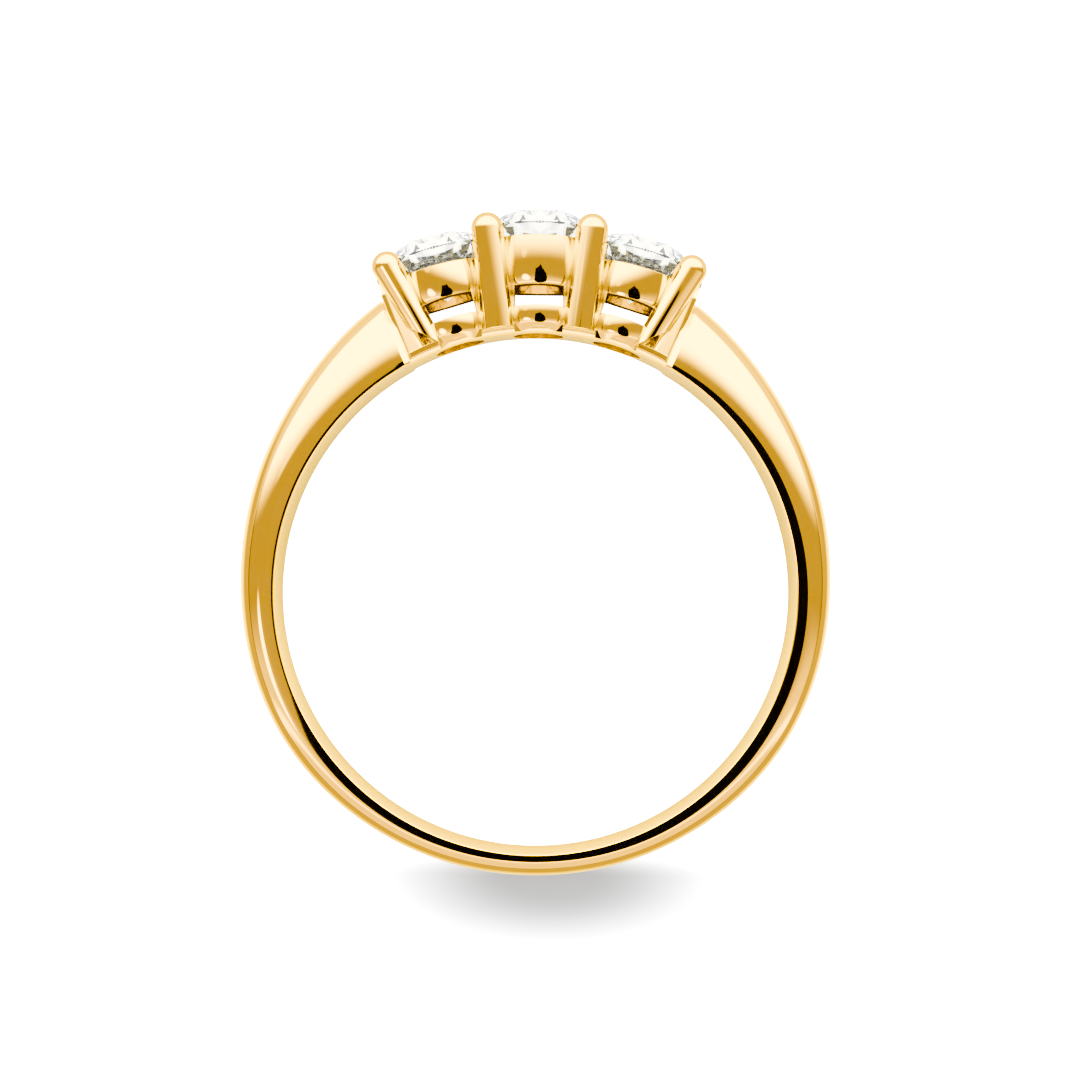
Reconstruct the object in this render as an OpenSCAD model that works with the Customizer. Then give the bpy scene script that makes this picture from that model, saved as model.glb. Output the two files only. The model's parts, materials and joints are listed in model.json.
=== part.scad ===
/* Three stone ring with shared prongs, lying on its side.
   The ring is drawn about its finger hole: the hole's axis is Z, the stones
   are towards +Y, and lengths called heights are measured outwards from the
   finger hole. at_rest() then lays the whole ring on the surface z = 0. */

/* [Finger hole] */
// Diameter of the finger hole
hole_d = 17.2; // [15:0.1:21]

/* [Shank] */
// Thickness of the shank at its back, opposite the stones
back_t = 0.82; // [0.6:0.02:1.4]
// Thickness of the shank where it meets the setting
shoulder_t = 2.47; // [2:0.05:2.8]
// Width of the shank at its back
back_w = 1.9; // [1.4:0.05:2.4]
// Width of the shank where it meets the setting
shoulder_w = 2.7; // [2.2:0.05:3]
// Radius of the rounded edges of the finger hole along the shank
edge_r = 0.18; // [0.14:0.02:0.26]
// Share of the thickness that is a plain side before the dome starts
side_share = 0.3; // [0.24:0.02:0.5]

/* [Stones] */
// Diameter of each round stone
stone_d = 3.5; // [3:0.05:3.7]
// Free space between neighbouring girdles
stone_space = 0.06; // [0.03:0.01:0.2]
// Height of the middle stone's girdle
centre_girdle_h = 3.52; // [3.2:0.05:4]
// Height of a side stone's girdle
side_girdle_h = 3.16; // [3:0.04:3.4]
// Lean of a side stone as a share of its place angle round the finger
lean_share = 0.9; // [0.8:0.02:1]
// Width of the table as a share of the stone's diameter
table_share = 0.57; // [0.5:0.01:0.64]
// Angle of the crown's main facets
crown_angle = 34.5; // [30:0.5:38]
// Angle of the pavilion's main facets
pavilion_angle = 41; // [38:0.5:43]
// Thickness of the girdle
girdle_t = 0.1; // [0.06:0.02:0.2]
// Length of the star facets as a share of the crown's slope
star_share = 0.5; // [0.4:0.05:0.6]
// Length of the lower girdle facets as a share of the pavilion's slope
lower_share = 0.77; // [0.7:0.01:0.85]

/* [Cups] */
// Diameter of a cup at its rim
cup_d = 3.1; // [2.9:0.05:3.3]
// Diameter of a cup at the finger hole
cup_foot_d = 2.56; // [2.4:0.04:2.6]
// Width of the middle cup's rim outside its stone's seat
centre_rim_w = 0.1; // [0.08:0.02:0.16]
// Width of a side cup's rim outside its stone's seat
side_rim_w = 0.28; // [0.22:0.02:0.34]
// Diameter of a cup's bore at the finger hole
bore_foot_d = 1.48; // [1.2:0.04:1.7]
// Diameter of a cup's bore at the rim
bore_rim_d = 2.14; // [1.8:0.04:2.3]
// Height of the lower edge of the windows through the cups
window_low_h = 0.89; // [0.6:0.05:1.1]
// Height of the upper edge of the windows through the cups
window_high_h = 1.55; // [1.3:0.05:1.7]
// Width of the windows through the cups
window_w = 1.63; // [1.2:0.05:1.8]
// Clearance between a stone and the metal round it
seat_gap = 0.03; // [0.01:0.01:0.06]

/* [Prongs] */
// Diameter of the four prongs that two stones share
shared_prong_d = 1.08; // [0.9:0.04:1.2]
// Diameter of the four prongs at the ends of the row
end_prong_d = 1.02; // [0.8:0.02:1.1]
// Depth to which a shared prong reaches over the middle stone
shared_bite = 0.23; // [0.15:0.02:0.35]
// Depth to which an end prong reaches over its stone
end_bite = 0.25; // [0.15:0.02:0.35]
// Height of the shared prongs' tips over the middle stone's girdle
shared_rise = 0.4; // [0.35:0.02:0.55]
// Height of the end prongs' tips over their stone's girdle
end_rise = 0.39; // [0.35:0.02:0.55]
// Lean of a shared prong as a share of its place angle
shared_lean_share = 0.79; // [0.6:0.05:1]
// Lean of an end prong beyond that of its stone
end_splay = 13; // [8:0.5:16]

/* [Rail and end walls] */
// Thickness of the rail that carries the cups
rail_t = 0.32; // [0.2:0.04:0.48]
// Width of the rail between the cups
rail_w = 2.2; // [1.9:0.1:2.4]
// Width of the end walls that the shank meets
wall_w = 2.54; // [2.3:0.06:2.7]
// Distance by which an end wall stands out beyond its prongs
wall_proud = 0.05; // [0.02:0.01:0.12]
// Angle by which an end wall leans less than its prongs
wall_ease = 6; // [4:0.5:8]
// Width of the gap between the two ribs of an end wall
rib_gap = 1.4; // [1.2:0.05:1.5]
// Distance from the middle plane at which the finger hole starts to flare
flare_start = 0.85; // [0.6:0.05:1]
// Angle of the flare at the setting's edges
flare_angle = 21; // [10:1:30]

/* [Hidden] */
$fn = 96;

hole_r = hole_d / 2;
stone_r = stone_d / 2;
shared_r = shared_prong_d / 2;
end_r = end_prong_d / 2;

// Places of the stones: distance from the finger axis, and angle from +Y
centre_r = hole_r + centre_girdle_h;
side_r = hole_r + side_girdle_h;
pitch = stone_d + stone_space;
side_place = acos((centre_r ^ 2 + side_r ^ 2 - pitch ^ 2) / (2 * centre_r * side_r));
side_lean = side_place * lean_share;

// Heights of the cut, measured along a stone's axis from its girdle
table_r = stone_r * table_share;
crown_h = (stone_r - table_r) * tan(crown_angle);
pavilion_h = stone_r * tan(pavilion_angle);

// Shared prongs: half the distance between them at the girdle, their lean and depth
shared_place = side_place / 2;
shared_lean = shared_place * shared_lean_share;
shared_x = side_r * sin(side_place) / 2;
prong_z = sqrt((stone_r + shared_r - shared_bite) ^ 2 - shared_x ^ 2);

// End prongs: distance from their stone's axis at the girdle
end_u = sqrt((stone_r + end_r - end_bite) ^ 2 - prong_z ^ 2);
end_lean = side_lean + end_splay;

// A point of the right side stone's own frame, in the ring's frame
function side_point(u, v) = [
    side_r * sin(side_place) + u * cos(side_lean) + v * sin(side_lean),
    side_r * cos(side_place) - u * sin(side_lean) + v * cos(side_lean)
];

// Centres of the round tips
shared_tip = [shared_x, centre_r + shared_rise - shared_r];
end_tip = side_point(end_u + (end_rise - end_r) * tan(end_splay), end_rise - end_r);

// Outer face of the right end wall: its lean, its outward normal and its distance from the axis
wall_lean = end_lean - wall_ease;
wall_out = [cos(wall_lean), -sin(wall_lean)];
wall_up = [sin(wall_lean), cos(wall_lean)];
wall_face = end_tip * wall_out + end_r + wall_proud;
// Overlap of solids that are soldered together
weld = 0.1;
// Depth to which the setting is drawn into the finger hole before the hole is cut
inset = 0.4;
// Distance by which cuts run past what they cut
past = 0.5;

// Angle from +Y at which a circle about the finger axis meets a wall face at distance q
function wall_place(radius, q) = wall_lean + asin(q / radius);

// Shank: rows of place along the shank from its back to the setting,
// share of the growth in thickness, and share of the growth in width
PLACE = 0;
THICKER = 1;
WIDER = 2;
shank_rows = [
    [0.00, 0.000, 0.00],
    [0.20, 0.065, 0.10],
    [0.39, 0.190, 0.28],
    [0.59, 0.260, 0.50],
    [0.72, 0.390, 0.68],
    [0.85, 0.600, 0.86],
    [1.00, 1.000, 1.00]
];
// Steps from the back to the setting, and flats across one half of the dome
shank_steps = 26;
dome_steps = 5;
// A true cylinder lines the finger hole; the swept body starts a hair above its surface
liner_w = back_w - 2.2 * edge_r;
liner_t = 0.2;
skin = 0.03;

function row_after(s, i = 1) =
    i == len(shank_rows) - 1 || s <= shank_rows[i][PLACE] ? i : row_after(s, i + 1);
function rise(i, j, column) =
    (shank_rows[j][column] - shank_rows[i][column]) / (shank_rows[j][PLACE] - shank_rows[i][PLACE]);
function slope_at(i, column) =
    i == 0 ? 0
    : i == len(shank_rows) - 1 ? rise(i - 1, i, column)
    : rise(i - 1, i + 1, column);
// Smooth value of a column at any place along the shank
function along(s, column) =
    let (
        i = row_after(s),
        span = shank_rows[i][PLACE] - shank_rows[i - 1][PLACE],
        t = (s - shank_rows[i - 1][PLACE]) / span
    )
    shank_rows[i - 1][column] * (1 + 2 * t) * (1 - t) ^ 2
    + shank_rows[i][column] * t ^ 2 * (3 - 2 * t)
    + slope_at(i - 1, column) * span * t * (1 - t) ^ 2
    - slope_at(i, column) * span * t ^ 2 * (1 - t);

// One half of the shank's section, from the liner to the crest: [height, distance from the middle]
function half_section(t, w) =
    let (side = side_share * t)
    concat(
        [
            [skin, w / 2 - edge_r],
            [skin + edge_r * (1 - cos(45)), w / 2 - edge_r * (1 - sin(45))],
            [skin + edge_r, w / 2]
        ],
        [for (b = [0:dome_steps]) [
            side + (t - side) * sin(90 * b / dome_steps),
            w / 2 * cos(90 * b / dome_steps)
        ]]
    );
function section(s) =
    let (
        half = half_section(
            back_t + (shoulder_t - back_t) * along(s, THICKER),
            back_w + (shoulder_w - back_w) * along(s, WIDER)
        ),
        n = len(half)
    )
    concat(half, [for (i = [n - 2:-1:0]) [half[i][0], -half[i][1]]]);

// Each line of the sweep ends on the end wall, a little inside its face
function line_end(height) = 180 - wall_place(hole_r + height, wall_face - weld);

module shank() {
    last = section(1);
    n = len(last);
    ends = [for (p = last) line_end(p[0])];
    points = [
        for (i = [-shank_steps:shank_steps])
            let (s = i / shank_steps, ring = section(abs(s)))
            for (j = [0:n - 1])
                let (a = s * ends[j], r = hole_r + ring[j][0])
                [r * sin(a), -r * cos(a), ring[j][1]]
    ];
    rings = 2 * shank_steps;
    polyhedron(
        points = points,
        faces = concat(
            [[for (j = [0:n - 1]) j]],
            [for (i = [0:rings - 1], j = [0:n - 1])
                let (k = (j + 1) % n)
                [i * n + j, (i + 1) * n + j, (i + 1) * n + k, i * n + k]],
            [[for (j = [n - 1:-1:0]) rings * n + j]]
        )
    );
}

// Puts its children in the frame of a stone: origin in the girdle, Z outwards along the stone's axis
module at_stone(side) {
    place = side * side_place;
    rotate([0, 0, -place])
        translate([0, side == 0 ? centre_r : side_r, 0])
            rotate([0, 0, place - side * side_lean])
                rotate([-90, 0, 0])
                    children();
}

function girdle_h(side) = side == 0 ? centre_girdle_h : side_girdle_h;
function rim_w(side) = side == 0 ? centre_rim_w : side_rim_w;
// Depth of a cup's rim under the girdle, where the seat's cone leaves the rim its width
function rim_drop(side) =
    girdle_t / 2 + seat_gap
    + (stone_r + seat_gap - cup_d / 2 + rim_w(side)) * tan(pavilion_angle);

// A cup runs from the finger hole to its rim, open in the middle and cut through by a window
module cup(side) {
    top = -rim_drop(side);
    foot = -girdle_h(side);
    height = top - foot;
    flare = (cup_d - cup_foot_d) / 2 / height;
    at_stone(side)
        translate([0, 0, foot - inset])
            cylinder(
                h = height + inset,
                r1 = cup_foot_d / 2 - inset * flare,
                r2 = cup_d / 2
            );
}

module cup_bore(side) {
    height = girdle_h(side) - rim_drop(side);
    widen = (bore_rim_d - bore_foot_d) / 2 / height;
    at_stone(side)
        translate([0, 0, -girdle_h(side) - past])
            cylinder(
                h = height + 2 * past,
                r1 = bore_foot_d / 2 - past * widen,
                r2 = bore_rim_d / 2 + past * widen
            );
}

// Two arcs about the finger axis bound each window above and below
module window(side) {
    intersection() {
        difference() {
            cylinder(h = cup_d + past, r = hole_r + window_high_h, center = true);
            cylinder(h = cup_d + 2 * past, r = hole_r + window_low_h, center = true);
        }
        at_stone(side)
            translate([-window_w / 2, -cup_d, -girdle_h(side)])
                cube([window_w, 2 * cup_d, girdle_h(side)]);
    }
}

// Space for a stone, with the clearance round it
module seat(side) {
    wide = stone_r + seat_gap;
    half = girdle_t / 2 + seat_gap;
    // The upper girdle facets are steeper than the main ones
    clear_angle = crown_angle + 8;
    rise = crown_h + stone_r / 2;
    at_stone(side)
        rotate_extrude()
            polygon([
                [0, -half - wide * tan(pavilion_angle)],
                [wide, -half],
                [wide, half],
                [wide - rise / tan(clear_angle), half + rise],
                [0, half + rise]
            ]);
}

// A round wire with a domed top: its axis starts at the origin and runs along Z
module domed_wire(r, length) {
    rotate_extrude()
        intersection() {
            union() {
                square([r, length]);
                translate([0, length])
                    circle(r = r);
            }
            square([r, length + r]);
        }
}

// Puts its children at a tip, with Z along the prong's axis, pointing down to its foot
module at_tip(tip, lean, side, z) {
    translate([side * tip[0], tip[1], z])
        rotate([0, 0, -side * lean])
            rotate([90, 0, 0])
                children();
}

module shared_prong(side, z) {
    length = centre_girdle_h + inset;
    at_tip(shared_tip, shared_lean, side, z)
        translate([0, 0, length])
            mirror([0, 0, 1])
                domed_wire(shared_r, length);
}

// The foot of an end prong is round too, and stands on the rail
module end_prong(side, z) {
    drop = end_tip * [sin(end_lean), cos(end_lean)];
    off = end_tip * [cos(end_lean), -sin(end_lean)];
    foot_r = hole_r + 0.85 * rail_t + end_r;
    length = drop - sqrt(foot_r ^ 2 - off ^ 2);
    at_tip(end_tip, end_lean, side, z) {
        translate([0, 0, length])
            mirror([0, 0, 1])
                domed_wire(end_r, length);
        translate([0, 0, length / 2])
            domed_wire(end_r, length / 2);
    }
}

// A band about the finger axis, between two radii and two place angles
module band(from, to, low, high, w) {
    rotate([0, 0, 90 - to])
        rotate_extrude(angle = to - from)
            translate([low, -w / 2])
                square([high - low, w]);
}

module rail() {
    wall_foot = wall_place(hole_r, wall_face - 2 * weld);
    foot = asin((end_tip[0] - end_r) / centre_r);
    low = hole_r - inset;
    high = hole_r + rail_t;
    band(-wall_foot, wall_foot, low, high, rail_w);
    band(foot, wall_foot, low, high, wall_w);
    band(-wall_foot, -foot, low, high, wall_w);
}

// Each end wall rises from the rail to the tips of its prongs, open between two ribs
module end_wall(side) {
    inner_out = [cos(end_lean), -sin(end_lean)];
    inner_up = [sin(end_lean), cos(end_lean)];
    inner_face = end_tip * inner_out + weld;
    low = hole_r - inset;
    face_top = end_tip * wall_up;
    outer = wall_out * wall_face;
    inner = inner_out * inner_face;
    inner_top = end_tip * inner_up + end_r / 2;
    // The ribs part where the shank's crest meets the wall
    crest_r = hole_r + shoulder_t;
    notch_low = sqrt(crest_r ^ 2 - wall_face ^ 2);
    mirror([side < 0 ? 1 : 0, 0, 0])
        difference() {
            translate([0, 0, -wall_w / 2])
                linear_extrude(height = wall_w)
                    polygon([
                        outer + wall_up * sqrt(low ^ 2 - wall_face ^ 2),
                        outer + wall_up * face_top,
                        outer - wall_out * wall_proud * 3 + wall_up * (face_top + end_r / 2),
                        inner + inner_up * inner_top,
                        inner + inner_up * sqrt(low ^ 2 - inner_face ^ 2)
                    ]);
            translate(concat(outer + wall_up * (notch_low + rib_gap / 2), 0))
                rotate([0, 0, -wall_lean]) {
                    rotate([0, 90, 0])
                        cylinder(h = 4 * end_prong_d, r = rib_gap / 2, center = true);
                    translate([-2 * end_prong_d, 0, -rib_gap / 2])
                        cube([4 * end_prong_d, shoulder_t, rib_gap]);
                }
        }
}

// A hoop all round the finger, which the swept body of the shank is welded on
module liner() {
    difference() {
        cylinder(h = liner_w, r = hole_r + liner_t, center = true);
        cylinder(h = liner_w + past, r = hole_r, center = true);
        for (side = [-1:1])
            cup_bore(side);
    }
}

// Both edges of the setting flare away from the finger
module flare() {
    reach = 2 * shoulder_w;
    for (m = [0, 1])
        mirror([0, 0, m])
            rotate_extrude()
                polygon([
                    [0, flare_start],
                    [hole_r, flare_start],
                    [hole_r + (reach - flare_start) * tan(flare_angle), reach],
                    [0, reach]
                ]);
}

module setting() {
    difference() {
        union() {
            difference() {
                for (side = [-1:1])
                    cup(side);
                for (side = [-1:1])
                    window(side);
            }
            rail();
            for (side = [-1, 1]) {
                end_wall(side);
                for (z = [-prong_z, prong_z]) {
                    shared_prong(side, z);
                    end_prong(side, z);
                }
            }
        }
        for (side = [-1:1]) {
            cup_bore(side);
            seat(side);
        }
        cylinder(h = 4 * shoulder_w, r = hole_r, center = true);
        flare();
    }
}

// How the ring lies: on the side of the shank's back and on the setting's edge
back_y = -(hole_r + side_share * back_t);
shared_front = prong_z + shared_r;
shared_foot_r = hole_r + (shared_front - flare_start) * tan(flare_angle);
end_front = prong_z + end_r;
end_foot_r = hole_r + (end_front - flare_start) * tan(flare_angle);
// Points that may touch the surface: [y, distance from the middle plane]
feet = [
    [sqrt(shared_foot_r ^ 2 - shared_x ^ 2), shared_front],
    [end_foot_r * cos(side_place * 1.4), end_front],
    [centre_r, stone_r],
    [side_r * cos(side_place), stone_r]
];
rest_tilt = atan(max([for (p = feet) (p[1] - back_w / 2) / (p[0] - back_y)]));
rest_z = back_w / 2 * cos(rest_tilt) - back_y * sin(rest_tilt);
// The ring's middle between its back and its table, set over the origin
top_y = max(centre_r + crown_h + girdle_t / 2, shared_tip[1] + shared_r);
middle_y = (top_y - hole_r - back_t) / 2;

module at_rest() {
    translate([0, -middle_y * cos(rest_tilt), rest_z])
        rotate([rest_tilt, 0, 0])
            children();
}

module mount() {
    color("goldenrod")
        at_rest() {
            shank();
            liner();
            setting();
        }
}

// A round brilliant: origin in the middle of its girdle, table towards +Z
module brilliant() {
    mid = table_r * cos(22.5);
    star_r = mid + star_share * (stone_r - mid);
    star_z = girdle_t / 2 + (stone_r - star_r * cos(22.5)) * tan(crown_angle);
    lower_r = stone_r * (1 - lower_share);
    lower_z = -girdle_t / 2 - (stone_r - lower_r * cos(22.5)) * tan(pavilion_angle);
    function ring(r, z, start) = [for (k = [0:7]) [
        r * cos(start + 45 * k),
        r * sin(start + 45 * k),
        z
    ]];
    // Rings of eight points from the table down, then the culet
    points = concat(
        ring(table_r, girdle_t / 2 + crown_h, 0),
        ring(star_r, star_z, 22.5),
        ring(stone_r, girdle_t / 2, 0),
        ring(stone_r, girdle_t / 2, 22.5),
        ring(stone_r, -girdle_t / 2, 0),
        ring(stone_r, -girdle_t / 2, 22.5),
        ring(lower_r, lower_z, 22.5),
        [[0, 0, -girdle_t / 2 - pavilion_h]]
    );
    TABLE = 0;
    STAR = 8;
    TOP_MAIN = 16;
    TOP_HALF = 24;
    LOW_MAIN = 32;
    LOW_HALF = 40;
    LOWER = 48;
    CULET = 56;
    polyhedron(
        points = points,
        faces = concat(
            [[for (k = [7:-1:0]) TABLE + k]],
            [for (k = [0:7]) let (n = (k + 1) % 8, p = (k + 7) % 8) each [
                [TABLE + k, TABLE + n, STAR + k],
                [TABLE + k, STAR + k, TOP_MAIN + k, STAR + p],
                [STAR + k, TOP_HALF + k, TOP_MAIN + k],
                [STAR + k, TOP_MAIN + n, TOP_HALF + k],
                [TOP_MAIN + k, TOP_HALF + k, LOW_HALF + k, LOW_MAIN + k],
                [TOP_HALF + k, TOP_MAIN + n, LOW_MAIN + n, LOW_HALF + k],
                [LOW_MAIN + k, LOW_HALF + k, LOWER + k],
                [LOW_HALF + k, LOW_MAIN + n, LOWER + k],
                [LOW_MAIN + k, LOWER + k, CULET, LOWER + p]
            ]]
        )
    );
}

module stone(side) {
    color("white")
        at_rest()
            at_stone(side)
                brilliant();
}

module centre_stone() { stone(0); }
module left_stone() { stone(-1); }
module right_stone() { stone(1); }

mount();
centre_stone();
left_stone();
right_stone();
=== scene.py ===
import json
import math

import bpy
from mathutils import Matrix, Vector


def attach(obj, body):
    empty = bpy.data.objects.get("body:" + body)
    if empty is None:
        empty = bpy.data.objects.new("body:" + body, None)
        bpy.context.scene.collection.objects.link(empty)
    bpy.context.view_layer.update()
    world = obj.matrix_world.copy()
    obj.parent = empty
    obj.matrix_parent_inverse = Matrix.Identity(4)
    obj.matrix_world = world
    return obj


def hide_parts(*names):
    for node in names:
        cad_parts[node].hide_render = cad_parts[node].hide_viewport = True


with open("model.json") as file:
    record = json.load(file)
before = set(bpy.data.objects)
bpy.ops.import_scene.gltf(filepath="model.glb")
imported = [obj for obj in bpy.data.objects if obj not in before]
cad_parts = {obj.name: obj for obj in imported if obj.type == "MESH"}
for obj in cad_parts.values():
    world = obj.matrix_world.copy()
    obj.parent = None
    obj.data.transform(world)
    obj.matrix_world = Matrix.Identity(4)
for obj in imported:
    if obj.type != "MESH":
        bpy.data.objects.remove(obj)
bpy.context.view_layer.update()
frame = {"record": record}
print("frame loaded")

# The ring is modelled in millimetres about its finger hole, with the hole along Z and the stones
# towards +Y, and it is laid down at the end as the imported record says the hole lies.
holeMount = frame["record"]["mounts"][0]
restTilt = math.atan2(-holeMount["axis"][1], holeMount["axis"][2])
restTurn = Matrix.Rotation(restTilt, 4, "X")
restPlace = Matrix.Translation(Vector(holeMount["pos_m"])) @ restTurn
layDown = restPlace @ Matrix.Diagonal((0.001, 0.001, 0.001, 1))

ring = dict(
    holeR=8.6,  # inside radius of the finger hole
    holeSteps=720,
    centreH=3.52,  # heights of the girdles over the hole
    sideH=3.16,
    stoneR=1.75,
    stoneSpace=0.06,  # between two girdles
    leanShare=0.9,  # a side stone leans by this share of its place round the finger
)
centreR = ring["holeR"] + ring["centreH"]
sideR = ring["holeR"] + ring["sideH"]
pitch = 2 * ring["stoneR"] + ring["stoneSpace"]
sidePlace = math.acos((centreR**2 + sideR**2 - pitch**2) / (2 * centreR * sideR))
sideLean = sidePlace * ring["leanShare"]


def deselect():
    if bpy.context.object and bpy.context.object.mode != "OBJECT":
        bpy.ops.object.mode_set(mode="OBJECT")
    bpy.ops.object.select_all(action="DESELECT")


def activate(piece):
    deselect()
    piece.select_set(True)
    bpy.context.view_layer.objects.active = piece


# moves a piece's mesh, and leaves its object at the origin
def settle(piece, place=Matrix()):
    piece.matrix_world = place @ piece.matrix_world
    activate(piece)
    bpy.ops.object.transform_apply(location=True, rotation=True, scale=True)
    return piece


# selects the vertices or edges that pass a test, and goes into edit mode
def pick(piece, test, kind="VERT"):
    activate(piece)
    bpy.ops.object.mode_set(mode="EDIT")
    bpy.ops.mesh.select_mode(type=kind)
    bpy.ops.mesh.select_all(action="DESELECT")
    bpy.ops.object.mode_set(mode="OBJECT")
    for part in piece.data.vertices if kind == "VERT" else piece.data.edges:
        part.select = test(part)
    bpy.ops.object.mode_set(mode="EDIT")


def editAll(piece):
    activate(piece)
    bpy.ops.object.mode_set(mode="EDIT")
    bpy.ops.mesh.select_all(action="SELECT")


def leaveEdit():
    bpy.ops.object.mode_set(mode="OBJECT")


# a cylinder about Z with its foot at z
def drum(radius, depth, z, steps=192):
    deselect()
    bpy.ops.mesh.primitive_cylinder_add(
        radius=radius, depth=depth, location=(0, 0, z + depth / 2), vertices=steps
    )
    return settle(bpy.context.object)


# the same, reaching equally far in front and behind
def midDrum(radius, half, steps=192):
    return drum(radius, 2 * half, -half, steps)


# a round face with its middle on Z
def disc(radius, z=0, steps=192):
    deselect()
    bpy.ops.mesh.primitive_circle_add(
        vertices=steps, radius=radius, fill_type="NGON", location=(0, 0, z)
    )
    return bpy.context.object


# a solid turned about Z from a list of [radius, height], from its foot up
def turned(profile, steps=192):
    radius, z = profile[0]
    piece = settle(disc(radius, z, steps))
    editAll(piece)
    for wider, higher in profile[1:]:
        bpy.ops.mesh.extrude_region_move(TRANSFORM_OT_translate=dict(value=(0, 0, higher - z)))
        bpy.ops.transform.resize(value=(wider / radius, wider / radius, 1), center_override=(0, 0, 0))
        radius, z = wider, higher
    bpy.ops.mesh.select_all(action="SELECT")
    bpy.ops.mesh.normals_make_consistent(inside=False)
    leaveEdit()
    return piece


def block(low, high):
    deselect()
    low, high = Vector(low), Vector(high)
    bpy.ops.mesh.primitive_cube_add(size=1, location=(low + high) / 2, scale=high - low)
    return settle(bpy.context.object)


def modify(piece, kind, **values):
    activate(piece)
    m = piece.modifiers.new(kind.lower(), kind)
    for name, value in values.items():
        setattr(m, name, value)
    bpy.ops.object.modifier_apply(modifier=m.name)
    return piece


def combine(piece, tool, how="DIFFERENCE"):
    modify(piece, "BOOLEAN", operation=how, object=tool, solver="MANIFOLD")
    bpy.data.objects.remove(tool)
    return piece


def copyOf(piece):
    twin = piece.copy()
    twin.data = piece.data.copy()
    bpy.context.collection.objects.link(twin)
    return twin


# takes out edges and faces of almost no size, and turns the faces outwards
def cleanUp(piece, finest=0.0004):
    editAll(piece)
    bpy.ops.mesh.dissolve_degenerate(threshold=finest)
    bpy.ops.mesh.normals_make_consistent(inside=False)
    leaveEdit()


# cuts off what lies past a plane, and closes the cut
def cutOff(piece, where, normal, finest=1e-5):
    editAll(piece)
    bpy.ops.mesh.bisect(
        plane_co=where, plane_no=normal, use_fill=True, clear_outer=True, threshold=finest
    )
    leaveEdit()
    return piece


def smooth(piece, angle):
    activate(piece)
    bpy.ops.object.shade_smooth_by_angle(angle=math.radians(angle))
    return piece


# from a stone's own frame, with its table towards +Z, to the ring's
def stonePlace(side):
    place = side * sidePlace
    return (
        Matrix.Rotation(-place, 4, "Z")
        @ Matrix.Translation((0, sideR if side else centreR, 0))
        @ Matrix.Rotation(place - side * sideLean, 4, "Z")
        @ Matrix.Rotation(-math.pi / 2, 4, "X")
    )


def girdleH(side):
    return ring["sideH"] if side else ring["centreH"]


# stones
cut = dict(
    mains=8,  # main facets of the pavilion, and kites of the crown
    tableShare=0.57,
    crownAngle=34.5,
    pavilionAngle=41,
    girdleT=0.1,
    starShare=0.5,  # lengths of the star and lower girdle facets
    lowerShare=0.77,
    roughSteps=128,
    roughSpare=0.2,  # height of the rough over the table and under the culet
)


def planeThrough(a, b, c):
    normal = (b - a).cross(c - a).normalized()
    return a, normal if normal.dot(a) > 0 else -normal


def makeBrilliant():
    r, half = ring["stoneR"], cut["girdleT"] / 2
    crown = math.tan(math.radians(cut["crownAngle"]))
    pavilion = math.tan(math.radians(cut["pavilionAngle"]))
    turn = 360 / cut["mains"]
    tableR = r * cut["tableShare"]
    mid = math.cos(math.radians(turn / 2))
    starR = tableR * mid + cut["starShare"] * (r - tableR * mid)
    lowR = r * (1 - cut["lowerShare"])

    def point(radius, degrees, z):
        a = math.radians(degrees)
        return Vector((radius * math.cos(a), radius * math.sin(a), z))

    topZ = half + (r - tableR) * crown
    starZ = half + (r - starR * mid) * crown
    lowZ = -half - (r - lowR * mid) * pavilion
    culet = point(0, 0, -half - r * pavilion)
    spare = cut["roughSpare"]
    rough = drum(r, topZ - culet.z + 2 * spare, culet.z - spare, cut["roughSteps"])
    facets = [(Vector((0, 0, topZ)), Vector((0, 0, 1)))]
    for k in range(cut["mains"]):
        a, between, b = k * turn, k * turn + turn / 2, k * turn + turn
        star, low = point(starR, between, starZ), point(lowR, between, lowZ)
        facets += [
            planeThrough(point(r, a, half), point(starR, a - turn / 2, starZ), star),
            planeThrough(point(tableR, a, topZ), point(tableR, b, topZ), star),
            planeThrough(star, point(r, a, half), point(r, between, half)),
            planeThrough(star, point(r, b, half), point(r, between, half)),
            planeThrough(point(r, a, -half), low, culet),
            planeThrough(low, point(r, a, -half), point(r, between, -half)),
            planeThrough(low, point(r, b, -half), point(r, between, -half)),
        ]
    for where, normal in facets:
        cutOff(rough, where, normal)
    return rough


brilliant = makeBrilliant()
print("brilliant:", len(brilliant.data.polygons), "faces")

# setting
holeR, stoneR = ring["holeR"], ring["stoneR"]
inset = 0.4  # depth to which the setting is drawn into the hole before the hole is cut
through = 2  # half length of the tools that cut right through it

cup = dict(
    foot=1.28,  # radius at the hole
    draw=0.24,  # and how much narrower it starts inside the hole
    step=0.05,
    rimDrop=(0.367, 0.523),  # the rims under the girdles: middle cup, side cups
    fixed=1.5,  # up to this height all cups are alike
    rim=3.15,  # height of the rim for which the belly is given
    # heights over the finger, and how far the wall tips up there in degrees
    belly=[
        (-0.4, -24),
        (0.30, -24),
        (0.40, -8),
        (0.89, 9),
        (1.20, 0),
        (1.50, -34),
        (1.62, -17),
        (1.75, -9.5),
        (1.95, -4.2),
        (2.20, -1),
        (2.60, 3),
        (3.20, 8),
    ],
)


def bellyAt(h):
    belly = cup["belly"]
    i = next(k for k in range(1, len(belly)) if h <= belly[k][0] or k == len(belly) - 1)
    t = (h - belly[i - 1][0]) / (belly[i][0] - belly[i - 1][0])
    return belly[i - 1][1] + (belly[i][1] - belly[i - 1][1]) * t


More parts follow.
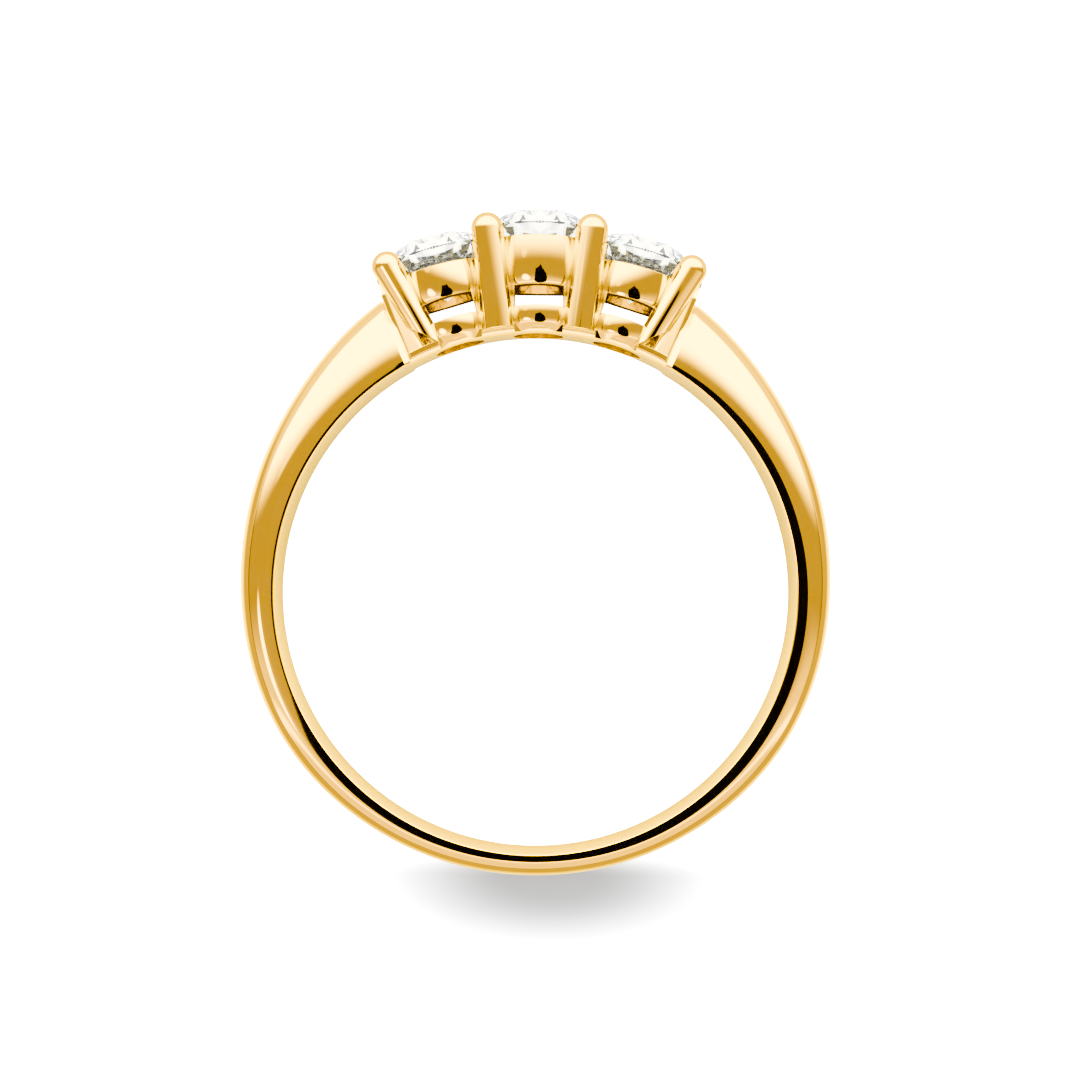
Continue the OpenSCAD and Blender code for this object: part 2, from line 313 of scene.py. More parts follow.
def makeCup(side):
    girdle = girdleH(side)
    rim = girdle - cup["rimDrop"][abs(side)]
    fixed = cup["fixed"]
    stretch = (rim - fixed) / (cup["rim"] - fixed)
    radius, h = cup["foot"] - cup["draw"], -inset
    profile = [(radius, h - girdle)]
    while h < rim - 0.001:
        step = min(cup["step"], rim - h)
        middle = h + step / 2
        tip = bellyAt(middle if middle < fixed else fixed + (middle - fixed) / stretch)
        radius, h = radius - step * math.tan(math.radians(tip)), h + step
        profile.append((radius, h - girdle))
    return settle(turned(profile), stonePlace(side))


bore = dict(
    # heights over the finger and radii: it narrows a touch over each opening
    profile=[(-0.5, 0.84), (0.0, 0.83), (0.89, 0.79), (1.50, 1.02), (1.95, 0.85), (2.30, 0.90)],
    rim=1.07,
    past=(0.05, 0.5),  # how far it goes on outwards and upwards past the rim
)


def makeBore(side):
    girdle = girdleH(side)
    rim = girdle - cup["rimDrop"][abs(side)]
    profile = [(r, h - girdle) for h, r in bore["profile"]]
    wider, above = bore["past"]
    profile += [(bore["rim"], rim - girdle), (bore["rim"] + wider, rim - girdle + above)]
    return settle(turned(profile), stonePlace(side))


window = dict(low=0.89, high=1.55, half=0.815)  # heights over the finger, and half the width


def makeWindow(side):
    w = window["half"]
    opening = midDrum(holeR + window["high"], through, ring["holeSteps"])
    combine(opening, midDrum(holeR + window["low"], through + 0.5, ring["holeSteps"]))
    post = block((-w, -through - 1, -girdleH(side)), (w, through + 1, 0))
    return combine(opening, settle(post, stonePlace(side)), "INTERSECT")


seat = dict(
    gap=0.03,  # round the stone
    high=1.4,  # the cut over the girdle, which is steeper than the crown by some degrees
    steeper=8,
    point=0.002,
)


def makeSeat(side):
    wide, half = stoneR + seat["gap"], cut["girdleT"] / 2 + seat["gap"]
    deep, high = wide * math.tan(math.radians(cut["pavilionAngle"])), seat["high"]
    narrow = wide - high / math.tan(math.radians(cut["crownAngle"] + seat["steeper"]))
    profile = [(seat["point"], -half - deep), (wide, -half), (wide, half), (narrow, half + high)]
    return settle(turned(profile), stonePlace(side))


# prongs: radius, bite into the girdle and rise over it
sharedProng = dict(r=0.54, bite=0.23, rise=0.4, leanShare=0.79)
endProng = dict(
    r=0.51,
    bite=0.25,
    rise=0.39,
    splay=math.radians(13),
    over=0.05,  # height over the hole at which its wire ends
    footShare=0.72,  # it narrows to this share of its radius, towards the row and the middle
    footIn=(0.13, 0.1),
    footAt=(3.08, 8.15),  # where the foot is cut slanting, and which way the cut looks
    footOff=(0.4, -0.9),
)
sharedX = sideR * math.sin(sidePlace) / 2
prongZ = math.sqrt((stoneR + sharedProng["r"] - sharedProng["bite"]) ** 2 - sharedX**2)
sharedTip = Vector((sharedX, centreR + sharedProng["rise"] - sharedProng["r"]))
sharedLean = sidePlace / 2 * sharedProng["leanShare"]
endU = math.sqrt((stoneR + endProng["r"] - endProng["bite"]) ** 2 - prongZ**2)
endLean = sideLean + endProng["splay"]
endV = endProng["rise"] - endProng["r"]
endTip = (stonePlace(1) @ Vector((endU + endV * math.tan(endProng["splay"]), 0, endV))).to_2d()


# a wire with a domed top round the origin: the lower half of the ball is pressed flat and drawn
# down to -length
def makeWire(radius, length):
    deselect()
    bpy.ops.mesh.primitive_uv_sphere_add(
        segments=96, ring_count=48, radius=radius, location=(0, 0, 0)
    )
    wire = settle(bpy.context.object)
    pick(wire, lambda v: v.co.z < -radius * 0.01)
    bpy.ops.transform.resize(value=(1, 1, 0.02), center_override=(0, 0, 0))
    bpy.ops.transform.translate(value=(0, 0, -length))
    leaveEdit()
    return wire


def prongPlace(tip, lean, side, z):
    return (
        Matrix.Translation((side * tip.x, tip.y, z))
        @ Matrix.Rotation(-side * lean, 4, "Z")
        @ Matrix.Rotation(-math.pi / 2, 4, "X")
    )


def makeProngs():
    drop = endTip.dot(Vector((math.sin(endLean), math.cos(endLean))))
    off = endTip.dot(Vector((math.cos(endLean), -math.sin(endLean))))
    footR = holeR + endProng["over"]
    (inX, inZ), (x, y), (right, up) = endProng["footIn"], endProng["footAt"], endProng["footOff"]
    shared = makeWire(sharedProng["r"], ring["centreH"] + inset)
    endLength = drop - math.sqrt(footR**2 - (off - endProng["r"]) ** 2)
    end = makeWire(endProng["r"], endLength)
    prongs = []
    for side in (-1, 1):
        for z in (-prongZ, prongZ):
            prongs.append(settle(copyOf(shared), prongPlace(sharedTip, sharedLean, side, z)))
            prong = settle(copyOf(end), prongPlace(endTip, endLean, side, z))
            foot = prongPlace(endTip, endLean, side, z) @ Vector((0, 0, -endLength))
            pick(prong, lambda v: (v.co - foot).length < endProng["r"] * 1.2)
            bpy.ops.transform.resize(value=[endProng["footShare"]] * 3, center_override=foot)
            bpy.ops.transform.translate(value=(-side * inX, 0, -math.copysign(inZ, z)))
            leaveEdit()
            prongs.append(cutOff(prong, (side * x, y, 0), (side * right, up, 0)))
    bpy.data.objects.remove(shared)
    bpy.data.objects.remove(end)
    return prongs


# end walls and rail
endWall = dict(
    w=2.54,
    inner=0.1,  # distance of the inner face from the middle of the end prongs
    proud=0.05,  # distance of the outer face from their outsides
    topIn=3,  # the top edge is set in by this many times as much
    ease=math.radians(6),  # it leans less than the end prongs by this
    edgeR=0.18,
    draft=0.3,  # share by which it draws in towards its top
    ribGap=1.4,
)
rail = dict(
    t=0.32,
    w=2.2,
    steps=360,
    buried=0.2,  # length inside an end wall
)
wallLean = endLean - endWall["ease"]
wallOut = Vector((math.cos(wallLean), -math.sin(wallLean)))
wallUp = Vector((math.sin(wallLean), math.cos(wallLean)))
wallFace = endTip.dot(wallOut) + endProng["r"] + endWall["proud"]


# keeps what lies between two angles round the finger, counted from the stones
def wedge(piece, start, stop):
    for angle, sign in ((start, 1), (stop, -1)):
        cutOff(piece, (0, 0, 0), (-sign * math.cos(angle), sign * math.sin(angle), 0), 1e-6)
    return piece


# rounds the edges of the faces in front and behind
def roundRim(piece, width):
    def inFace(edge):
        ends = [piece.data.vertices[k].co.z for k in edge.vertices]
        return min(ends) > 0 or max(ends) < 0

    pick(piece, inFace, "EDGE")
    bpy.ops.mesh.bevel(offset=width, segments=8, affect="EDGES", clamp_overlap=True)
    leaveEdit()


def makeRail():
    wallFoot = wallLean + math.asin((wallFace - rail["buried"]) / holeR)
    foot = math.asin((endTip.x - endProng["r"]) / centreR)
    r, steps = holeR + rail["t"], rail["steps"]
    band = wedge(midDrum(r, rail["w"] / 2, steps), -wallFoot, wallFoot)
    # it is wider between the end prongs and the walls
    for start, stop in ((foot, wallFoot), (-wallFoot, -foot)):
        combine(band, wedge(midDrum(r, endWall["w"] / 2, steps), start, stop), "UNION")
    return band


# the right end wall, open between two ribs; the left one is its mirror image
def makeWall():
    innerOut = Vector((math.cos(endLean), -math.sin(endLean)))
    innerUp = Vector((math.sin(endLean), math.cos(endLean)))
    innerFace = endTip.dot(innerOut) + endWall["inner"]
    low, top, over = holeR - inset, endTip.dot(wallUp), endProng["r"] / 2
    outer, inner = wallOut * wallFace, innerOut * innerFace
    corners = [
        outer + wallUp * math.sqrt(low**2 - wallFace**2),
        outer + wallUp * top,
        outer - wallOut * endWall["proud"] * endWall["topIn"] + wallUp * (top + over),
        inner + innerUp * (endTip.dot(innerUp) + over),
        inner + innerUp * math.sqrt(low**2 - innerFace**2),
    ]
    wall = midDrum(1, endWall["w"] / 2, len(corners))
    for i, v in enumerate(wall.data.vertices):
        v.co.xy = corners[i // 2]
        v.co.z *= 1 - endWall["draft"] * (v.co.xy.dot(wallUp) - low) / (top - low)
    cleanUp(wall)
    roundRim(wall, endWall["edgeR"])
    gap = endWall["ribGap"] / 2
    notchLow = math.sqrt((holeR + shank["shoulderT"]) ** 2 - wallFace**2)
    at = outer + wallUp * (notchLow + gap)
    place = Matrix.Translation((at.x, at.y, 0)) @ Matrix.Rotation(-wallLean, 4, "Z")
    place = place @ Matrix.Rotation(-math.pi / 2, 4, "Y") @ Matrix.Rotation(math.pi, 4, "Z")
    notch = midDrum(gap, through, 96)
    combine(notch, block((-through - 1, -gap, -through), (0, gap, through)), "UNION")
    return combine(wall, settle(notch, place))


# shank
shank = dict(
    backT=0.82,
    shoulderT=2.47,
    backW=1.9,
    shoulderW=2.7,
    # place from the back to the setting, shares of the growth in thickness and in width,
    # and the heights of the widest place and of the rounded edge
    rows=[
        (0.00, 0.000, 0.00, 0.20, 0.05),
        (0.20, 0.065, 0.10, 0.27, 0.05),
        (0.39, 0.190, 0.28, 0.33, 0.05),
        (0.59, 0.260, 0.50, 0.34, 0.08),
        (0.72, 0.390, 0.68, 0.32, 0.11),
        (0.85, 0.600, 0.86, 0.27, 0.12),
        (1.00, 1.000, 1.00, 0.18, 0.09),
    ],
    steps=240,
    sectionSteps=128,
    edgeIn=0.04,  # how far the edges of the hole are rounded in
    draft=math.radians(0.7),  # slope of the plain sides
    halfTurn=2.62,  # angle from the back to an end wall, and radius half-way through the metal there
    middleR=10,
    buried=0.1,  # length of the shank inside an end wall
    endRound=0.16,  # length and depth of the rounding where the shank meets the end walls
    endIn=0.1,
    endEase=0.3,
)


# smooth value of a column at any place along the shank
def along(s, column):
    rows = shank["rows"]
    i = next(k for k in range(1, len(rows)) if s <= rows[k][0] or k == len(rows) - 1)

    def rise(a, b):
        return (rows[b][column] - rows[a][column]) / (rows[b][0] - rows[a][0])

    def slope(k):
        return 0 if k == 0 else rise(k - 1, k) if k == len(rows) - 1 else rise(k - 1, k + 1)

    span = rows[i][0] - rows[i - 1][0]
    t = (s - rows[i - 1][0]) / span
    return (
        rows[i - 1][column] * (1 + 2 * t) * (1 - t) ** 2
        + rows[i][column] * t**2 * (3 - 2 * t)
        + slope(i - 1) * span * t * (1 - t) ** 2
        - slope(i) * span * t**2 * (1 - t)
    )


# the section as [height over the hole, distance from the middle], once round: the wall of the hole,
# its rounded edge, a plain side that draws in a touch towards the hole, and the dome
def shankSection(s, count):
    t = shank["backT"] + (shank["shoulderT"] - shank["backT"]) * along(s, 1)
    w = shank["backW"] + (shank["shoulderW"] - shank["backW"]) * along(s, 2)
    wide, edge = along(s, 3), along(s, 4)
    draft = (wide - edge) * math.tan(shank["draft"])
    e = shank["edgeIn"] + draft
    flat, corner, side, dome = (round(count * share) for share in (1 / 16, 1 / 16, 1 / 8, 1 / 4))
    half = [(0, (w / 2 - e) * k / flat) for k in range(flat)]
    for k in range(corner):
        a = math.pi / 2 * k / corner
        half.append((edge * (1 - math.cos(a)), w / 2 - e + shank["edgeIn"] * math.sin(a)))
    for k in range(side):
        u = k / side
        half.append((edge + (wide - edge) * u, w / 2 - draft * (1 - u) ** 2))
    for k in range(dome + 1):
        a = math.pi / 2 * k / dome
        half.append((wide + (t - wide) * math.sin(a), w / 2 * math.cos(a)))
    return half + [(h, -v) for h, v in half[-2:0:-1]], wide, w


def lineEnd(height):
    return math.pi - (wallLean + math.asin((wallFace - shank["buried"]) / (holeR + height)))


# the torus gives the faces, and each of its vertices is put in its place on a section
def makeShank():
    steps, count = shank["steps"], shank["sectionSteps"]
    deselect()
    bpy.ops.mesh.primitive_torus_add(
        major_segments=steps + 2,
        minor_segments=count,
        major_radius=9.5,
        minor_radius=1,
        location=(0, 0, 0),
    )
    piece = settle(bpy.context.object)
    mesh = piece.data
    ends = shankSection(1, count)[0]
    for i in range(steps + 1):
        s = 2 * i / steps - 1
        section, wide, w = shankSection(abs(s), count)
        # the last bit before the wall is rounded in
        fromEnd = (1 - abs(s)) * shank["halfTurn"] * shank["middleR"] - shank["buried"]
        k = min(max(1 - fromEnd / shank["endRound"], 0), 1)
        draw = shank["endIn"] * (1 - math.sqrt(1 - k**2))
        for j, (h, v) in enumerate(section):
            angle = s * lineEnd(ends[j][0])
            if h > wide:
                h -= draw * (h - wide) / (h - wide + shank["endEase"])
            v -= draw * v / (w / 2)
            r = holeR + h
            mesh.vertices[i * count + j].co = (r * math.sin(angle), -r * math.cos(angle), v)
    # takes out the span behind the stones and closes both ends
    pick(piece, lambda v: v.index // count == steps + 1)
    bpy.ops.mesh.delete(type="VERT")
    bpy.ops.mesh.select_all(action="SELECT")
    bpy.ops.mesh.region_to_loop()
    bpy.ops.mesh.edge_face_add()
    bpy.ops.mesh.select_all(action="SELECT")
    bpy.ops.mesh.normals_make_consistent(inside=False)
    leaveEdit()
    return piece


# the setting's edges round the hole are rounded over
holeEdge = dict(
    start=0.85,  # distance from the middle
    out=0.28,
    turn=72,
    steps=12,
    past=0.04,  # what a quarter turn would reach past the walls' faces
)


def makeTrumpet():
    start, wide, steps = holeEdge["start"], holeEdge["out"], holeEdge["steps"]
    deep = endWall["w"] / 2 + holeEdge["past"] - start
    bend = [math.radians(holeEdge["turn"]) * k / steps for k in range(steps + 1)]
    flare = [(holeR + wide * (1 - math.cos(a)), start + deep * math.sin(a)) for a in bend]
    return turned([(holeR, 0)] + flare + [(holeR + wide, through + 1)], ring["holeSteps"])


def makeMount():
    mount = makeCup(0)
    for side in (-1, 1):
        combine(mount, makeCup(side), "UNION")
    for side in (-1, 0, 1):
        combine(mount, makeWindow(side))
    combine(mount, makeRail(), "UNION")
    wall = makeWall()
    mirrored = settle(copyOf(wall), Matrix.Diagonal((-1, 1, 1, 1)))
    cleanUp(mirrored)
    for piece in [wall, mirrored] + makeProngs():
        combine(mount, piece, "UNION")
    for side in (-1, 0, 1):
        combine(mount, makeBore(side))
        combine(mount, makeSeat(side))
    combine(mount, midDrum(holeR, 3 * through, ring["holeSteps"]))
    for up in (0, 1):
        combine(mount, settle(makeTrumpet(), Matrix.Rotation(math.pi * up, 4, "X")))
    print("setting:", len(mount.data.polygons), "faces")
    combine(mount, makeShank(), "UNION")
    cleanUp(mount)
    mount.name = mount.data.name = "gold_mount"
    print("mount:", len(mount.data.polygons), "faces")
    return mount


mountPiece = makeMount()

stones = []
for side, name in ((0, "centre"), (-1, "left"), (1, "right")):
    stone = settle(copyOf(brilliant), layDown @ stonePlace(side))
    stone.name = stone.data.name = name + "_brilliant"
    stones.append(stone)
    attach(stone, "root")
    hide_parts(name + "_stone")
bpy.data.objects.remove(brilliant)

settle(mountPiece, layDown)
smooth(mountPiece, 24)
modify(mountPiece, "WEIGHTED_NORMAL", keep_sharp=True)
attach(mountPiece, "root")
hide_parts("mount")
print("pieces laid down")


# materials
def newMaterial(name):
    m = bpy.data.materials.new(name)
    m.use_nodes = True
    tree = m.node_tree
    return m, tree, tree.nodes["Principled BSDF"]


# ways to set a socket, to calculate, to run smoothly from one value to another, and to blend colours
def nodeTools(tree):
    def put(socket, value):
        if isinstance(value, bpy.types.NodeSocket):
            tree.links.new(value, socket)
        else:
            socket.default_value = value

    def calc(how, *values):
        n = tree.nodes.new("ShaderNodeMath")
        n.operation = how
        for i, v in enumerate(values):
            put(n.inputs[i], v)
        return n.outputs[0]

    def ramp(value, low, high, start=0, stop=1, kind="SMOOTHSTEP"):
        n = tree.nodes.new("ShaderNodeMapRange")
        n.interpolation_type = kind
        for i, v in enumerate((value, low, high, start, stop)):
            put(n.inputs[i], v)
        return n.outputs["Result"]

    def blend(share, first, second):
        n = tree.nodes.new("ShaderNodeMix")
        n.data_type = "RGBA"
        for i, v in ((0, share), (6, first), (7, second)):
            put(n.inputs[i], v)
        return n.outputs[2]

    return put, calc, ramp, blend


goldFinishAndPaintedLight = dict(
    tints=[(1.0, 0.545, 0.068, 1), (1.0, 0.575, 0.095, 1)],  # its colour varies between these
    grazing=(1.0, 0.9, 0.16, 1),
    # paler colour painted on gold where it is mirrored or seen through a stone
    mirrored=(0.8, 0.76, 0.5, 1),
    rough=(0.02, 0.07),
    mirroredRough=0.2,
    waveScale=900,
    waveDetail=2,
    waveBump=0.02,
    waveDepth=0.00002,
    fineScale=6000,
    fineDetail=3,
    edgeR=0.00003,
    # painted glow of gold seen through a stone
    seenGlow=2.0,
    glowColour=(1.0, 0.97, 0.9, 1),
)


def polishedGold():
    m, tree, shader = newMaterial("polished_yellow_gold")
    put, calc, ramp, blend = nodeTools(tree)
    coords = tree.nodes.new("ShaderNodeTexCoord")
    path = tree.nodes.new("ShaderNodeLightPath")
    glossy, clear = path.outputs["Is Glossy Ray"], path.outputs["Is Transmission Ray"]

    def noise(kind):
        n = tree.nodes.new("ShaderNodeTexNoise")
        put(n.inputs["Scale"], goldFinishAndPaintedLight[kind + "Scale"])
        put(n.inputs["Detail"], goldFinishAndPaintedLight[kind + "Detail"])
        put(n.inputs["Vector"], coords.outputs["Object"])
        return n.outputs["Fac"]

    wave = noise("wave")
    put(shader.inputs["Metallic"], 1)
    put(shader.inputs["Specular Tint"], goldFinishAndPaintedLight["grazing"])
    # painted reflection colour: gold mirrored in gold, or seen through a stone, is given a paler
    # colour, or it would turn red
    tint = blend(wave, *goldFinishAndPaintedLight["tints"])
    tint = blend(calc("MAXIMUM", glossy, clear), tint, goldFinishAndPaintedLight["mirrored"])
    put(shader.inputs["Base Color"], tint)
    # what gold mirrors of other gold is softened
    rough = ramp(noise("fine"), 0, 1, *goldFinishAndPaintedLight["rough"], "LINEAR")
    put(shader.inputs["Roughness"], calc("MULTIPLY_ADD", glossy, goldFinishAndPaintedLight["mirroredRough"], rough))
    # and gold seen through a stone glows: painted light for the seats that no path finds
    put(shader.inputs["Emission Color"], goldFinishAndPaintedLight["glowColour"])
    put(shader.inputs["Emission Strength"], calc("MULTIPLY", clear, goldFinishAndPaintedLight["seenGlow"]))
    bump = tree.nodes.new("ShaderNodeBump")
    put(bump.inputs["Strength"], goldFinishAndPaintedLight["waveBump"])
    put(bump.inputs["Distance"], goldFinishAndPaintedLight["waveDepth"])
    put(bump.inputs["Height"], wave)
    edges = tree.nodes.new("ShaderNodeBevel")
    edges.samples = 6
    put(edges.inputs["Radius"], goldFinishAndPaintedLight["edgeR"])
    put(bump.inputs["Normal"], edges.outputs["Normal"])
    put(shader.inputs["Normal"], bump.outputs["Normal"])
    return m


diamondFinishAndPaintedGlow = dict(
    colour=(0.99, 0.99, 0.98, 1),
    ior=2.42,
    # painted glow for rays deep in the stone
    deepFrom=4.5,
    deepGlow=0.08,
    deepColour=(1.0, 0.985, 0.96, 1),
)


def clearDiamond():
    m, tree, shader = newMaterial("clear_diamond")
    put, calc = nodeTools(tree)[:2]
    put(shader.inputs["Base Color"], diamondFinishAndPaintedGlow["colour"])
    put(shader.inputs["Transmission Weight"], 1)
    put(shader.inputs["IOR"], diamondFinishAndPaintedGlow["ior"])
    put(shader.inputs["Roughness"], 0)
    # rays that would go round in the stone for ever end in a painted glow
    path = tree.nodes.new("ShaderNodeLightPath")
    deep = calc("GREATER_THAN", path.outputs["Ray Depth"], diamondFinishAndPaintedGlow["deepFrom"])
    put(shader.inputs["Emission Strength"], calc("MULTIPLY", deep, diamondFinishAndPaintedGlow["deepGlow"]))
    put(shader.inputs["Emission Color"], diamondFinishAndPaintedGlow["deepColour"])
    return m


goldLook, diamondLook = polishedGold(), clearDiamond()
for piece, look in [(mountPiece, goldLook)] + [(s, diamondLook) for s in stones]:
    piece.data.materials.clear()
    piece.data.materials.append(look)
print("materials ready")

# the floor, with lengths in metres
studio = dict(
    floorSize=0.6,
    floorColour=0.9,
    floorGlow=3.0,
    floorRough=0.7,
    shadow=0.07,  # share of the light that is left in the core of the painted soft shadow
    shadowCore=0.15,
    shadowAt=(0.00065, -0.0113),
    shadowHalf=(0.0082, 0.0034, 0.0012),  # to the sides, away from the ring and under it
    mirrored=(0.16, 0.42),  # painted shade in the white that gold mirrors of it: near what lies on it, and elsewhere
    nearReach=0.0012,
    nearFrom=0.35,
    nearTo=0.85,
    fadeFrom=0.0105,  # the painted light that gold mirrors of it fades outwards, between these distances
    fadeTo=0.014,
    faded=0.2,  # to this share, or to the next one past the stones
    fadedAbove=0.4,
    aboveFrom=0.004,
    aboveTo=0.011,
)


def makeFloor():
    deselect()
    bpy.ops.mesh.primitive_plane_add(size=studio["floorSize"], location=(0, 0, 0))
    floor = bpy.context.object
    floor.name = "floor"
    m, tree, shader = newMaterial("pale_floor")
    put, calc, ramp = nodeTools(tree)[:3]
    put(shader.inputs["Roughness"], studio["floorRough"])
    put(shader.inputs["Specular IOR Level"], 0)
    put(shader.inputs["Emission Color"], (1, 1, 1, 1))
    coords = tree.nodes.new("ShaderNodeTexCoord")
    split = tree.nodes.new("ShaderNodeSeparateXYZ")
    put(split.inputs[0], coords.outputs["Object"])
    # a painted soft shadow at the back of the shank: the floor's colour and glow are darker in an
    # ellipse there
    (x, y), (wide, below, under) = studio["shadowAt"], studio["shadowHalf"]
    aside = calc("DIVIDE", calc("SUBTRACT", split.outputs["X"], x), wide)
    down = calc("SUBTRACT", y, split.outputs["Y"])
    down = calc("MAXIMUM", calc("DIVIDE", down, below), calc("DIVIDE", down, -under))
    off = calc("SQRT", calc("MULTIPLY_ADD", aside, aside, calc("MULTIPLY", down, down)))
    lit = calc("POWER", studio["shadow"], ramp(off, 1, studio["shadowCore"]))
    put(shader.inputs["Base Color"], calc("MULTIPLY", lit, studio["floorColour"]))
    put(shader.inputs["Emission Strength"], calc("MULTIPLY", lit, studio["floorGlow"]))
    # painted reflection: polished gold mirrors the floor dimmer than it looks, with painted shade
    # where something lies near
    near = tree.nodes.new("ShaderNodeAmbientOcclusion")
    near.samples = 6
    put(near.inputs["Distance"], studio["nearReach"])
    put(near.inputs["Color"], (1, 1, 1, 1))
    shade = ramp(near.outputs["AO"], studio["nearFrom"], studio["nearTo"], *studio["mirrored"])
    # and this painted light fades outwards
    away = tree.nodes.new("ShaderNodeVectorMath")
    away.operation = "LENGTH"
    put(away.inputs[0], coords.outputs["Object"])
    above = ramp(
        split.outputs["Y"],
        studio["aboveFrom"],
        studio["aboveTo"],
        studio["faded"],
        studio["fadedAbove"],
    )
    fade = ramp(away.outputs["Value"], studio["fadeFrom"], studio["fadeTo"], 1, above)
    dimmed = tree.nodes.new("ShaderNodeBsdfDiffuse")
    put(dimmed.inputs["Color"], calc("MULTIPLY", shade, fade))
    path = tree.nodes.new("ShaderNodeLightPath")
    mix = tree.nodes.new("ShaderNodeMixShader")
    put(mix.inputs[0], path.outputs["Is Glossy Ray"])
    put(mix.inputs[1], shader.outputs[0])
    put(mix.inputs[2], dimmed.outputs[0])
    put(tree.nodes["Material Output"].inputs["Surface"], mix.outputs[0])
    floor.data.materials.append(m)


# light and camera are placed in millimetres about the finger hole
softbox = dict(at=(0, 120, 90), size=(60, 40), watts=0.6)


def makeSoftbox():
    data = bpy.data.lights.new("top_softbox", "AREA")
    data.shape = "RECTANGLE"
    data.size, data.size_y = [side * 0.001 for side in softbox["size"]]
    data.energy = softbox["watts"]
    lamp = bpy.data.objects.new("top_softbox", data)
    bpy.context.collection.objects.link(lamp)
    lamp.visible_glossy = False
    lamp.location = layDown @ Vector(softbox["at"])
    towards = layDown @ Vector((0, 0, 0)) - lamp.location
    lamp.rotation_euler = towards.to_track_quat("-Z", "Y").to_euler()


# The tent: even white for what lights the floor; what the polished gold mirrors has a white top and
# foot and a dim gap between them at the camera's height.
tent = dict(
    white=7.0,  # levels: what lights the floor, what the stones show, and what the gold mirrors
    clearWhite=5.0,
    top=4.4,
    foot=1.3,
    dim=0.55,
    topFrom=0.12,
    topTo=0.42,
    footFrom=0.10,
    footTo=0.36,
    stripeAt=-0.5,  # a brighter stripe low down in the foot
    stripeHalf=0.1,
    stripe=3.0,
    topColour=(0.95, 1.12, 0.95, 1),
    # lights to the left: level, and the slopes of the ray to the sides and upwards that see them
    sideLights=[(4.2, (-0.98, -0.42), (-0.48, -0.14)), (2.2, (-1.15, -0.3), (0.2, 0.75))],
    soft=0.55,
    clearer=0.6,  # share of even white in what the stones show
    horizon=0.35,  # share of the light that is left at the horizon, and where all of it is there
    horizonTo=0.12,
)


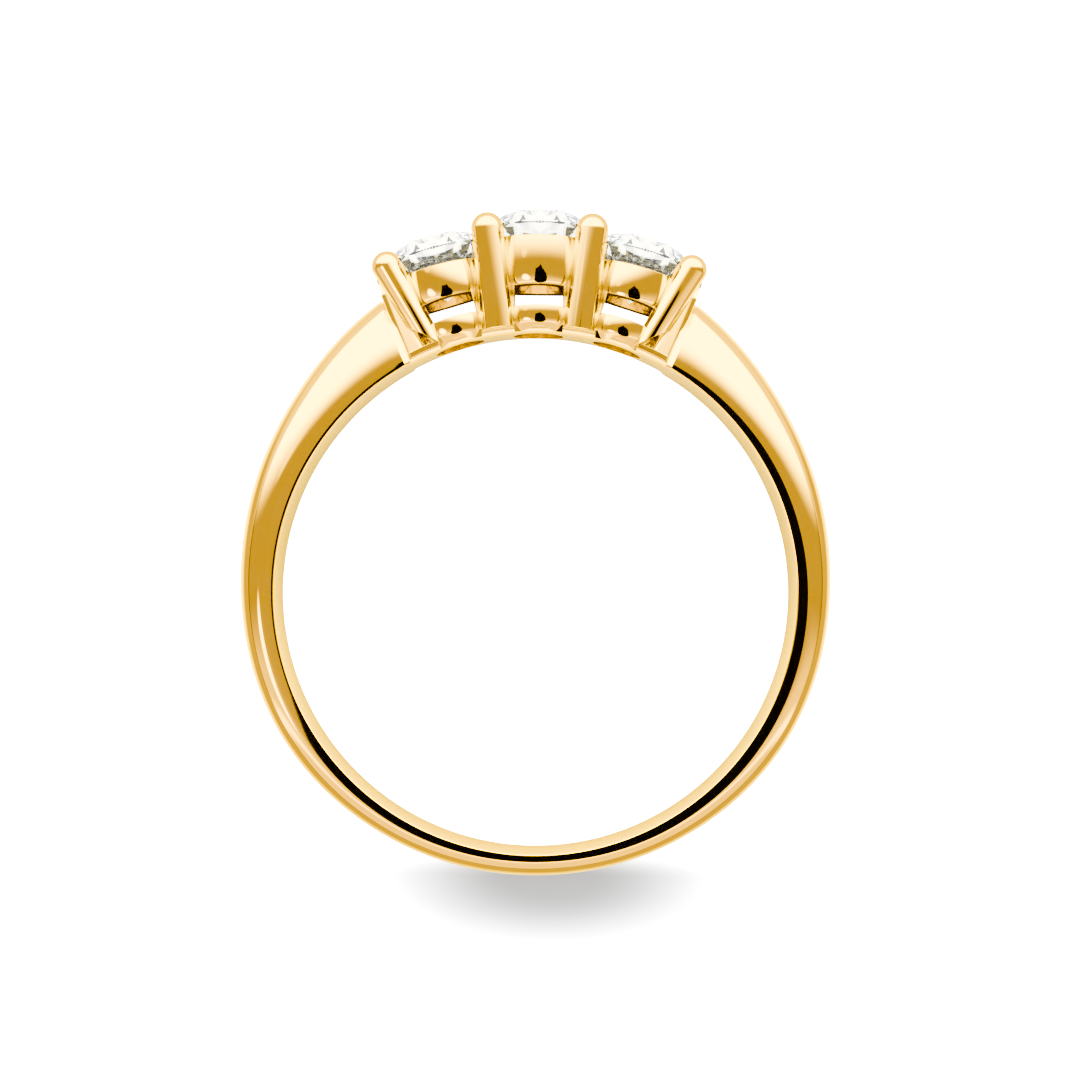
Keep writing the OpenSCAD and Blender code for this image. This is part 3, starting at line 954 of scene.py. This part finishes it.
def makeTent():
    world = bpy.context.scene.world or bpy.data.worlds.new("studio")
    bpy.context.scene.world = world
    world.use_nodes = True
    tree = world.node_tree
    tree.nodes.clear()
    put, calc, ramp, blend = nodeTools(tree)
    coords = tree.nodes.new("ShaderNodeTexCoord")
    split = tree.nodes.new("ShaderNodeSeparateXYZ")
    put(split.inputs[0], coords.outputs["Generated"])
    y = split.outputs["Y"]
    upwards, downwards = ramp(y, tent["topFrom"], tent["topTo"]), calc("MULTIPLY", y, -1)
    top = calc("MULTIPLY", upwards, tent["top"] - tent["dim"])
    foot = ramp(downwards, tent["footFrom"], tent["footTo"])
    foot = calc("MULTIPLY", foot, tent["foot"] - tent["dim"])
    offStripe = calc("ABSOLUTE", calc("SUBTRACT", y, tent["stripeAt"]))
    stripe = calc("MULTIPLY", ramp(offStripe, tent["stripeHalf"], 0), tent["stripe"] - tent["foot"])
    level = calc("ADD", calc("ADD", top, foot), calc("ADD", stripe, tent["dim"]))
    z = calc("MAXIMUM", split.outputs["Z"], 0.001)
    for bright, rangeX, rangeY in tent["sideLights"]:
        off = 0
        for value, (low, high) in ((split.outputs["X"], rangeX), (y, rangeY)):
            aside = calc("SUBTRACT", calc("DIVIDE", value, z), (low + high) / 2)
            share = calc("DIVIDE", aside, (high - low) / 2)
            off = calc("MULTIPLY_ADD", share, share, off)
        light = calc("MULTIPLY", ramp(off, 1 + tent["soft"], 1 - tent["soft"]), bright)
        level = calc("MAXIMUM", level, light)
    horizon = ramp(split.outputs["Z"], 0, tent["horizonTo"])
    horizon = calc("MULTIPLY_ADD", horizon, 1 - tent["horizon"], tent["horizon"])
    level = calc("MULTIPLY", level, horizon)
    path = tree.nodes.new("ShaderNodeLightPath")
    clear = path.outputs["Is Transmission Ray"]
    glossy = calc("MULTIPLY", path.outputs["Is Glossy Ray"], calc("SUBTRACT", 1, clear))
    # what the stones show is nearer to even white than what the gold mirrors
    seenClear = calc("MULTIPLY_ADD", level, 1 - tent["clearer"], tent["clearer"] * tent["clearWhite"])
    strength = calc("ADD", calc("MULTIPLY", glossy, level), calc("MULTIPLY", clear, seenClear))
    rest = calc("SUBTRACT", calc("SUBTRACT", 1, glossy), clear)
    strength = calc("ADD", strength, calc("MULTIPLY", rest, tent["white"]))
    background = tree.nodes.new("ShaderNodeBackground")
    colour = blend(calc("MULTIPLY", glossy, upwards), (1, 1, 1, 1), tent["topColour"])
    put(background.inputs["Color"], colour)
    put(background.inputs["Strength"], strength)
    out = tree.nodes.new("ShaderNodeOutputWorld")
    put(out.inputs["Surface"], background.outputs[0])


# the dark front of the camera, seen in reflections only: corners as the camera sees them
cameraFront = dict(
    z=60,
    colour=(0.001, 0.001, 0.001, 1),
    corners=[
        (-5, -30),
        (5, -32),
        (14, -29),
        (19, -22),
        (21, -12),
        (21, -2),
        (18, 6),
        (13, 11),
        (8, 13.2),
        (3, 17),
        (-2, 14.5),
        (-9.5, 12.8),
        (-11.5, 0),
        (-13.5, -13),
        (-11, -24),
    ],
)


def makeCameraFront():
    corners = cameraFront["corners"]
    card = disc(10, steps=len(corners))
    card.name = "camera_front"
    for v, corner in zip(card.data.vertices, corners):
        v.co.xy = corner
    settle(card, layDown @ Matrix.Translation((0, 0, cameraFront["z"])))
    m, tree, shader = newMaterial("black_camera_front")
    shader.inputs["Base Color"].default_value = cameraFront["colour"]
    shader.inputs["Specular IOR Level"].default_value = 0
    card.data.materials.append(m)
    card.visible_camera = card.visible_shadow = False
    card.visible_diffuse = card.visible_transmission = False


makeFloor()
makeTent()
makeCameraFront()
makeSoftbox()

# the camera looks along the finger hole
shot = dict(x=0.1523, y=1.7738, distance=60, turn=math.radians(0.7), lens=59.76, sensor=36)


def makeCamera():
    turn = Matrix.Rotation(shot["turn"], 4, "Z")
    at = turn @ Vector((shot["x"], shot["y"], shot["distance"]))
    data = bpy.data.cameras.new("camera")
    data.lens, data.sensor_width = shot["lens"], shot["sensor"]
    data.clip_start, data.clip_end = 0.001, 10
    camera = bpy.data.objects.new("camera", data)
    bpy.context.collection.objects.link(camera)
    camera.matrix_world = Matrix.Translation(layDown @ at) @ restTurn @ turn
    bpy.context.scene.camera = camera


makeCamera()
scene = bpy.context.scene
scene.view_settings.view_transform = "AgX"
scene.view_settings.look = "AgX - Very High Contrast"
print("studio ready")

bpy.context.view_layer.update()
